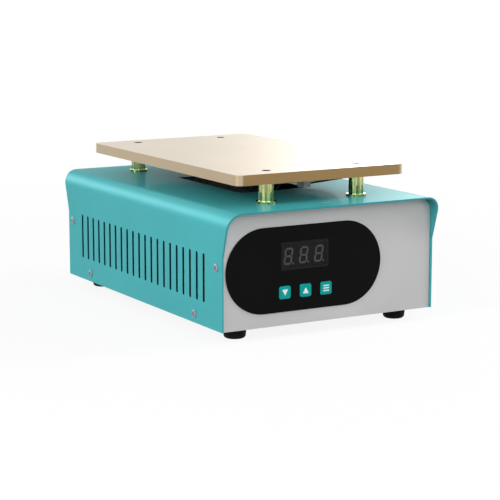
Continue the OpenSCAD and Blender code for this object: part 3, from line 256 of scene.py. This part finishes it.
def anodised_plate():
    """Pale gold anodised aluminium with duller ends, darkened partly by their cut finish and partly by
    painted shade, and painted shade in the screw recesses.
    """
    f = Finish("anodised_plate")
    slow, fine = f.noise(0.05, 2.0), f.noise(0.0003, 4.0)
    tone = f.blend(slow, shade(GOLD, 0.96), shade(GOLD, 1.04))
    tone = f.multiply(tone, f.blend(fine, (0.96,) * 3, FULL))
    turn = f.math("ABSOLUTE", f.axes(f.facing)[1])
    # Ends darkened: partly cut finish, partly painted shade
    tone = f.multiply(tone, f.blend(turn, FULL, END_FINISH_AND_SHADE, END_FROM, END_TO))
    x, y, z = f.axes(f.place)
    low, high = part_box("heating_plate")
    beyond_x = f.math("SUBTRACT", f.math("ABSOLUTE", x), high.x - RECESS_MARGIN)
    beyond_y = f.math("SUBTRACT", f.math("ABSOLUTE", y), high.y - RECESS_MARGIN)
    inside = f.math("LESS_THAN", f.math("MAXIMUM", beyond_x, beyond_y), 0.0)
    under_top = f.math("LESS_THAN", z, high.z - RECESS_BELOW_TOP)
    above_base = f.math("GREATER_THAN", z, low.z + RECESS_ABOVE_BASE)
    shaded_recess = f.math("MULTIPLY", inside, f.math("MULTIPLY", under_top, above_base))
    # Painted shade darkens the screw recesses
    f.colour(f.multiply(tone, f.blend(shaded_recess, FULL, RECESS_SHADE, 0.0, 1.0)))
    rougher = f.spread(turn, 0.0, END_ROUGHER, END_FROM, END_TO)
    f.roughness(f.math("ADD", f.spread(fine, 0.24, 0.30), rougher))
    f.normal(f.relief(fine, 0.000005, 0.6))
    f.set(Metallic=1.0)
    return f.material


def yellow_zinc():
    """Yellow passivated zinc on drawn bar: gold that drifts to green, with streaks along the bar that are
    partly drawing marks and partly painted reflections.
    """
    f = Finish("yellow_zinc")
    drift = f.noise(0.004, 2.0)
    streak_and_sheen = f.noise(0.0016, 1.0, (1, 1, 0.02))
    fine = f.noise(0.0004, 4.0, (1, 1, 0.15))
    tint = f.blend(drift, (0.29, 0.38, 0.15), (0.40, 0.41, 0.18), 0.35, 0.65)
    # Streaks along the bar, partly drawing marks and partly painted reflections, lighter and bluer where they
    # stand for reflections
    tint = f.multiply(tint, f.blend(streak_and_sheen, (0.40, 0.42, 0.36), (1.6, 1.6, 1.7), 0.36, 0.64))
    f.colour(f.multiply(tint, f.blend(fine, (0.92,) * 3, FULL)))
    f.roughness(f.spread(streak_and_sheen, 0.24, 0.12))
    f.normal(f.relief(fine, 0.000003, 0.5))
    f.set(Metallic=1.0)
    return f.material


def along(axis, pitch, wobble=0.0):
    return lambda f: f.bands(axis, pitch, wobble)


# Finish, colour, roughness range, colour change, mottle size, grain size, grain depth, stretch if any, extras
FINISHES = (
    ("panel_paint", (0.58, 0.58, 0.58), (0.36, 0.46), 0.05, 0.06, 0.00035, 0.000006, dict(Metallic=0.25)),
    ("tray_sheet", (0.26, 0.26, 0.26), (0.45, 0.6), 0.06, 0.04, 0.0005, 0.00001, dict()),
    ("bright_steel", (0.62, 0.61, 0.60), (0.18, 0.3), 0.08, 0.004, 0.0003, 0.000005, dict(Metallic=1.0)),
    ("dark_steel", (0.035, 0.03, 0.025), (0.45, 0.6), 0.1, 0.004, 0.0003, 0.000005,
     dict(Specular_IOR_Level=0.1)),
    ("dull_steel", (0.19, 0.20, 0.20), (0.4, 0.55), 0.08, 0.004, 0.0003, 0.000005, dict(Metallic=1.0)),
    ("black_paint", (0.012, 0.012, 0.012), (0.5, 0.65), 0.15, 0.01, 0.0004, 0.00001,
     dict(Specular_IOR_Level=0.1)),
    ("foot_rubber", (0.006, 0.006, 0.006), (0.55, 0.7), 0.2, 0.006, 0.0004, 0.00003,
     dict(Specular_IOR_Level=0.08)),
    ("overlay_film", (0.0035, 0.0035, 0.0036), (0.28, 0.36), 0.15, 0.05, 0.0003, 0.000004,
     dict(Specular_IOR_Level=0.05)),
    ("window_plastic", (0.010, 0.0095, 0.010), (0.10, 0.16), 0.1, 0.02, 0.0006, 0.000002,
     dict(Alpha=0.45, Specular_IOR_Level=0.12)),
    ("display_face", (0.020, 0.018, 0.018), (0.5, 0.6), 0.1, 0.01, 0.0003, 0.000006, dict()),
    ("button_plastic", (0.004, 0.40, 0.375), (0.3, 0.4), 0.06, 0.004, 0.0003, 0.000006,
     dict(Specular_IOR_Level=0.12)),
    ("black_plastic", (0.016, 0.016, 0.017), (0.42, 0.55), 0.15, 0.01, 0.0004, 0.00002, dict()),
    ("rocker_plastic", (0.012, 0.012, 0.013), (0.24, 0.34), 0.15, 0.01, 0.0004, 0.000008, dict()),
    ("circuit_board", (0.02, 0.13, 0.05), (0.25, 0.35), 0.12, 0.01, 0.0012, 0.00002,
     dict(pattern=lambda f: f.cells(0.003), pattern_shade=0.75)),
    ("brass", (0.70, 0.50, 0.20), (0.22, 0.34), 0.08, 0.005, 0.0003, 0.000005, dict(Metallic=1.0)),
    ("mica", (0.45, 0.36, 0.22), (0.25, 0.45), 0.15, 0.01, 0.0015, 0.00003,
     dict(pattern=lambda f: f.cells(0.005), pattern_shade=0.85)),
    ("ceramic_fibre", (0.34, 0.37, 0.32), (0.8, 0.95), 0.08, 0.01, 0.0005, 0.0001, (1, 0.2, 1), dict()),
    ("black_sleeve", (0.012, 0.012, 0.012), (0.5, 0.65), 0.2, 0.006, 0.0004, 0.00003,
     dict(pattern=along("DIAGONAL", 0.0008), pattern_depth=0.00006, pattern_shade=0.6)),
    ("mains_sleeve", (0.16, 0.075, 0.035), (0.35, 0.5), 0.1, 0.006, 0.0005, 0.00001, dict()),
    ("ribbon_plastic", (0.42, 0.42, 0.43), (0.4, 0.55), 0.06, 0.01, 0.0004, 0.00001,
     dict(pattern=along("X", 0.00127), pattern_depth=0.0002, pattern_shade=0.7)),
    ("core_steel", (0.10, 0.10, 0.11), (0.35, 0.5), 0.15, 0.006, 0.0005, 0.00001,
     dict(Metallic=0.8, pattern=along("Y", 0.0005, 0.2), pattern_depth=0.00006, pattern_shade=0.6)),
    ("copper_winding", (0.60, 0.22, 0.08), (0.25, 0.4), 0.12, 0.005, 0.0004, 0.00001,
     dict(Metallic=0.9, pattern=along("Z", 0.0006), pattern_depth=0.0002, pattern_shade=0.5)),
    ("sink_aluminium", (0.68, 0.69, 0.70), (0.28, 0.42), 0.06, 0.01, 0.0004, 0.000006, (1, 1, 0.08),
     dict(Metallic=1.0)),
    ("fuse_glass", (0.75, 0.78, 0.78), (0.04, 0.08), 0.04, 0.01, 0.001, 0.000002, dict(Alpha=0.4)),
    ("terminal_plastic", (0.05, 0.20, 0.10), (0.4, 0.55), 0.1, 0.01, 0.0004, 0.00001, dict()),
    ("border_print", (0.012, 0.0115, 0.012), (0.10, 0.16), 0.1, 0.02, 0.0006, 0.000002,
     dict(Specular_IOR_Level=0.12)),
    ("pale_zinc", (0.27, 0.31, 0.36), (0.3, 0.45), 0.08, 0.004, 0.0003, 0.000005, dict(Metallic=1.0)),
    ("painted_screw", (0.16, 0.40, 0.42), (0.25, 0.4), 0.1, 0.003, 0.0003, 0.000006, dict(Metallic=0.5)),
    ("digit_grey", (0.24, 0.235, 0.235), (0.45, 0.55), 0.06, 0.003, 0.0003, 0.000003, dict()),
    ("icon_white", (0.92, 0.98, 1.0), (0.4, 0.5), 0.03, 0.003, 0.0003, 0.000003, dict()),
)
finishes = {name: surface(name, *values, **extras) for name, *values, extras in FINISHES}
finishes["cover_paint"] = cover_paint()
finishes["anodised_plate"] = anodised_plate()
finishes["yellow_zinc"] = yellow_zinc()
for entry in frame["record"]["subparts"]:
    node = nodes[entry["node"]]
    if not node.material_slots:
        node.data.materials.append(None)
    for holder in node.material_slots:
        holder.material = finishes[entry["material_slot"]]
for name, finish in (("cover_side_screws", "pale_zinc"), ("cover_top_screws", "painted_screw")):
    for holder in nodes[name].material_slots:
        holder.material = finishes[finish]


# Printed pieces: prisms that stand on a face which looks to the front

def prisms(name, outlines, back, front, material, body):
    """One piece of flat prisms between two planes across Y. Outlines run anticlockwise from the front."""
    mesh = bmesh.new()
    for outline in outlines:
        near = [mesh.verts.new((x, front, z)) for x, z in outline]
        far = [mesh.verts.new((x, back, z)) for x, z in outline]
        mesh.faces.new(near)
        mesh.faces.new(list(reversed(far)))
        count = len(outline)
        for i in range(count):
            k = (i + 1) % count
            mesh.faces.new((near[k], near[i], far[i], far[k]))
    data = bpy.data.meshes.new(name)
    mesh.to_mesh(data)
    mesh.free()
    data.materials.append(material)
    piece = bpy.data.objects.new(name, data)
    bpy.context.scene.collection.objects.link(piece)
    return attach(piece, body)


def rounded(points, radius, steps=4):
    """The outline with each corner turned into a short arc."""
    out = []
    count = len(points)
    for i in range(count):
        corner = Vector(points[i])
        before = (Vector(points[i - 1]) - corner).normalized()
        after = (Vector(points[(i + 1) % count]) - corner).normalized()
        half = before.angle(after) / 2
        centre = corner + (before + after).normalized() * radius / math.sin(half)
        start = corner + before * radius / math.tan(half) - centre
        end = corner + after * radius / math.tan(half) - centre
        for k in range(steps + 1):
            spoke = start.lerp(end, k / steps).normalized() * radius
            out.append(tuple(centre + spoke))
    return out


def circle(radius, sides):
    """Points round a circle about the origin, anticlockwise."""
    turns = [2 * math.pi * k / sides for k in range(sides)]
    return [(radius * math.cos(t), radius * math.sin(t)) for t in turns]


# Display digits

DIGIT_H = 10.3 * MM
DIGIT_W = 5.8 * MM
DIGIT_PITCH = 10.75 * MM
DIGIT_MID_X = -18.78 * MM
DIGIT_MID_Z = 49.55 * MM
DIGIT_SLANT = math.tan(math.radians(8))
BAR = 1.15 * MM
BAR_GAP = 0.14 * MM
POINT_R = 0.62 * MM
POINT_SIDES = 16
POINT_OFFSET = 1.55 * MM
PRINT_T = 0.04 * MM


def slanted(x, z):
    """A point of a digit, with the digit's lean."""
    return (x + z * DIGIT_SLANT, z)


def segment(a, b):
    """A bar with pointed ends from a to b, shortened by the gap to its neighbours."""
    a, b = Vector(a), Vector(b)
    way = (b - a).normalized()
    side = Vector((-way.y, way.x)) * BAR / 2
    a, b = a + way * BAR_GAP, b - way * BAR_GAP
    near, far = a + way * BAR / 2, b - way * BAR / 2
    outline = [a, near - side, far - side, b, far + side, near + side]
    return [slanted(*p) for p in outline]


def digit_outlines(mid_x):
    w, h = (DIGIT_W - BAR) / 2, (DIGIT_H - BAR) / 2
    corners = {(sx, sz): (sx * w, sz * h) for sx in (-1, 1) for sz in (-1, 0, 1)}
    ends = [((-1, z), (1, z)) for z in (-1, 0, 1)]
    ends += [((x, z), (x, z + 1)) for x in (-1, 1) for z in (-1, 0)]
    outlines = [segment(corners[a], corners[b]) for a, b in ends]
    point_x, point_z = w + POINT_OFFSET, -h - BAR / 2 + POINT_R
    outlines.append([slanted(point_x + x, point_z + z) for x, z in circle(POINT_R, POINT_SIDES)])
    return [[(mid_x + x, DIGIT_MID_Z + z) for x, z in outline] for outline in outlines]


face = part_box("display_module")[0].y
for place, word in ((-1, "left"), (0, "middle"), (1, "right")):
    piece = prisms("digit_" + word, digit_outlines(DIGIT_MID_X + place * DIGIT_PITCH), face, face - PRINT_T,
                   finishes["digit_grey"], "housing")


# Border printed on the window over the ledge that carries it

BORDER_W = 1.3 * MM
low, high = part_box("display_window")
outer = [(low.x, low.z), (high.x, low.z), (high.x, high.z), (low.x, high.z)]
mid_x, mid_z = (low.x + high.x) / 2, (low.z + high.z) / 2
inner = []
for x, z in outer:
    inner.append((x + math.copysign(BORDER_W, mid_x - x), z + math.copysign(BORDER_W, mid_z - z)))
sides = [[outer[i], outer[(i + 1) % 4], inner[(i + 1) % 4], inner[i]] for i in range(4)]
piece = prisms("window_border", sides, low.y, low.y - PRINT_T, finishes["border_print"], "housing")


# Button signs

ARROW_HALF_W = 2.15 * MM
ARROW_HALF_H = 1.85 * MM
ARROW_ROUND = 0.25 * MM
STRIPE_LENGTH = 4.2 * MM
STRIPE_HALF_H = 0.38 * MM
STRIPE_PITCH = 1.55 * MM
STRIPE_ROUND = 0.3 * MM


def middle(node):
    low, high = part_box(node)
    return (low + high) / 2, low.y


def triangle(x, z, up):
    w, h = ARROW_HALF_W, ARROW_HALF_H
    points = [(x - w, z - h), (x + w, z - h), (x, z + h)]
    if not up:
        points = [(x + w, z + h), (x - w, z + h), (x, z - h)]
    return rounded(points, ARROW_ROUND)


def stripe(x, z):
    w, h = STRIPE_LENGTH / 2, STRIPE_HALF_H
    return rounded([(x - w, z - h), (x + w, z - h), (x + w, z + h), (x - w, z + h)], STRIPE_ROUND)


for name in ("button_down", "button_up", "button_set"):
    centre, front = middle(name)
    if name == "button_set":
        outlines = [stripe(centre.x, centre.z + k * STRIPE_PITCH) for k in (-1, 0, 1)]
    else:
        outlines = [triangle(centre.x, centre.z, name == "button_up")]
    piece = prisms("sign_" + name, outlines, front, front - PRINT_T, finishes["icon_white"], name)


# Camera, floor and light

def aim(thing, location, target):
    thing.location = location
    thing.rotation_mode = "QUATERNION"
    thing.rotation_quaternion = (Vector(target) - Vector(location)).to_track_quat("-Z", "Y")


CAMERA_AT = Vector((-0.55285, -0.97327, 0.23144))
CAMERA_AZIMUTH = math.radians(-29.881)
CAMERA_ELEVATION = math.radians(9.996)
LENS_MM = 123.43
SENSOR_MM = 36
back = Vector((
    math.sin(CAMERA_AZIMUTH) * math.cos(CAMERA_ELEVATION),
    -math.cos(CAMERA_AZIMUTH) * math.cos(CAMERA_ELEVATION),
    math.sin(CAMERA_ELEVATION),
))
lens = bpy.data.cameras.new("camera")
lens.lens = LENS_MM
lens.sensor_width = SENSOR_MM
lens.clip_start, lens.clip_end = 0.01, 50
camera = bpy.data.objects.new("camera", lens)
bpy.context.scene.collection.objects.link(camera)
aim(camera, CAMERA_AT, CAMERA_AT - back)
bpy.context.scene.camera = camera


PEAK = 2.0


def softbox(name, location, target, width, height, watts):
    """A rectangular lamp that fades to its edges. Along each axis its middle is PEAK times the mean."""
    lamp = bpy.data.lights.new(name, "AREA")
    lamp.shape = "RECTANGLE"
    lamp.size, lamp.size_y = width, height
    lamp.energy = watts
    lamp.use_nodes = True
    tree = lamp.node_tree
    spot = tree.nodes.new("ShaderNodeNewGeometry").outputs["Parametric"]
    split = tree.nodes.new("ShaderNodeSeparateXYZ")
    tree.links.new(spot, split.inputs["Vector"])
    parts = []
    for axis in ("X", "Y"):
        rise = tree.nodes.new("ShaderNodeMath")
        rise.operation = "PINGPONG"
        rise.inputs[1].default_value = 0.5
        tree.links.new(split.outputs[axis], rise.inputs[0])
        edge = tree.nodes.new("ShaderNodeMapRange")
        edge.interpolation_type = "SMOOTHSTEP"
        edge.inputs["From Max"].default_value = 0.5
        edge.inputs["To Max"].default_value = PEAK
        tree.links.new(rise.outputs[0], edge.inputs["Value"])
        parts.append(edge.outputs["Result"])
    both = tree.nodes.new("ShaderNodeMath")
    both.operation = "MULTIPLY"
    tree.links.new(parts[0], both.inputs[0])
    tree.links.new(parts[1], both.inputs[1])
    tree.links.new(both.outputs[0], tree.nodes["Emission"].inputs["Strength"])
    thing = bpy.data.objects.new(name, lamp)
    bpy.context.scene.collection.objects.link(thing)
    aim(thing, location, target)
    thing.visible_camera = False
    return thing


CENTRE = (0, 0, 0.05)
# name, place, width, height, watts, whether it lights matt surfaces too
LAMPS = (
    ("left_light", (-1.6, -0.35, 0.6), 1.2, 1.2, 20.6, True),
    ("front_left_light", (-0.9, -1.6, 0.7), 1.2, 1.2, 10.7, True),
    ("front_light", (0.7, -1.6, 0.5), 1.2, 1.2, 1.8, True),
    ("right_light", (1.6, -0.4, 0.7), 1.2, 1.2, 26.0, True),
    ("back_right_light", (2.1, 2.39, 0.75), 1.2, 1.6, 9.5, False),
    ("far_right_light", (2.3, 2.2, 0.75), 2.4, 1.6, 10.8, False),
    ("back_left_light", (-0.75, 1.85, 0.7), 1.6, 1.4, 11.0, False),
    ("back_light", (1.0, 2.6, 0.65), 2.0, 1.4, 0.6, False),
)
for name, place, width, height, watts, lights_matt in LAMPS:
    softbox(name, place, CENTRE, width, height, watts).visible_diffuse = lights_matt

# Floor: the glow is white, and its share of the floor's light grows from the part outwards
FLOOR_R = 1.6
FLOOR_SIDES = 64
GLOW_NEAR = 0.89
GLOW_FROM = 0.15
GLOW_TO = 0.7
floor_mesh = bpy.data.meshes.new("floor")
ring = [(x, y, 0) for x, y in circle(FLOOR_R, FLOOR_SIDES)]
floor_mesh.from_pydata(ring, [], [list(range(FLOOR_SIDES))])
floor = bpy.data.objects.new("floor", floor_mesh)
bpy.context.scene.collection.objects.link(floor)
floor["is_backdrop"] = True


def floor_material():
    """White floor that keeps the shadow near the part and fades into the white round it."""
    f = Finish("floor_white")
    f.colour(f.blend(f.noise(0.3), (0.86,) * 3, (0.88,) * 3))
    f.set(Roughness=0.9, Specular_IOR_Level=0.1)
    output = f.tree.nodes["Material Output"]
    path = f.add("ShaderNodeLightPath")
    glow = f.add("ShaderNodeEmission", Color=(1, 1, 1, 1))
    seen = f.math("MAXIMUM", path.outputs["Is Camera Ray"], path.outputs["Is Glossy Ray"])
    f.join(seen, glow.inputs["Strength"])
    distance = f.add("ShaderNodeVectorMath")
    distance.operation = "LENGTH"
    f.join(f.place, distance.inputs[0])
    fade = f.spread(distance.outputs["Value"], GLOW_NEAR, 1.0, GLOW_FROM, GLOW_TO)
    mix = f.add("ShaderNodeMixShader")
    f.join(fade, mix.inputs["Fac"])
    f.join(f.shader.outputs["BSDF"], mix.inputs[1])
    f.join(glow.outputs["Emission"], mix.inputs[2])
    f.join(mix.outputs["Shader"], output.inputs["Surface"])
    return f.material


floor_mesh.materials.append(floor_material())

scene = bpy.context.scene
scene.view_settings.view_transform = "Standard"
AMBIENT = 0.37
world = bpy.data.worlds.new("studio")
scene.world = world
world.use_nodes = True
sky = world.node_tree
path = sky.nodes.new("ShaderNodeLightPath")
seen = path.outputs["Is Camera Ray"]
for ray in ("Is Glossy Ray", "Is Transmission Ray"):
    either = sky.nodes.new("ShaderNodeMath")
    either.operation = "MAXIMUM"
    sky.links.new(seen, either.inputs[0])
    sky.links.new(path.outputs[ray], either.inputs[1])
    seen = either.outputs[0]
level = sky.nodes.new("ShaderNodeMapRange")
level.inputs["To Min"].default_value = AMBIENT
sky.links.new(seen, level.inputs["Value"])
sky.nodes["Background"].inputs["Color"].default_value = (1, 1, 1, 1)
sky.links.new(level.outputs["Result"], sky.nodes["Background"].inputs["Strength"])

low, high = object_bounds()
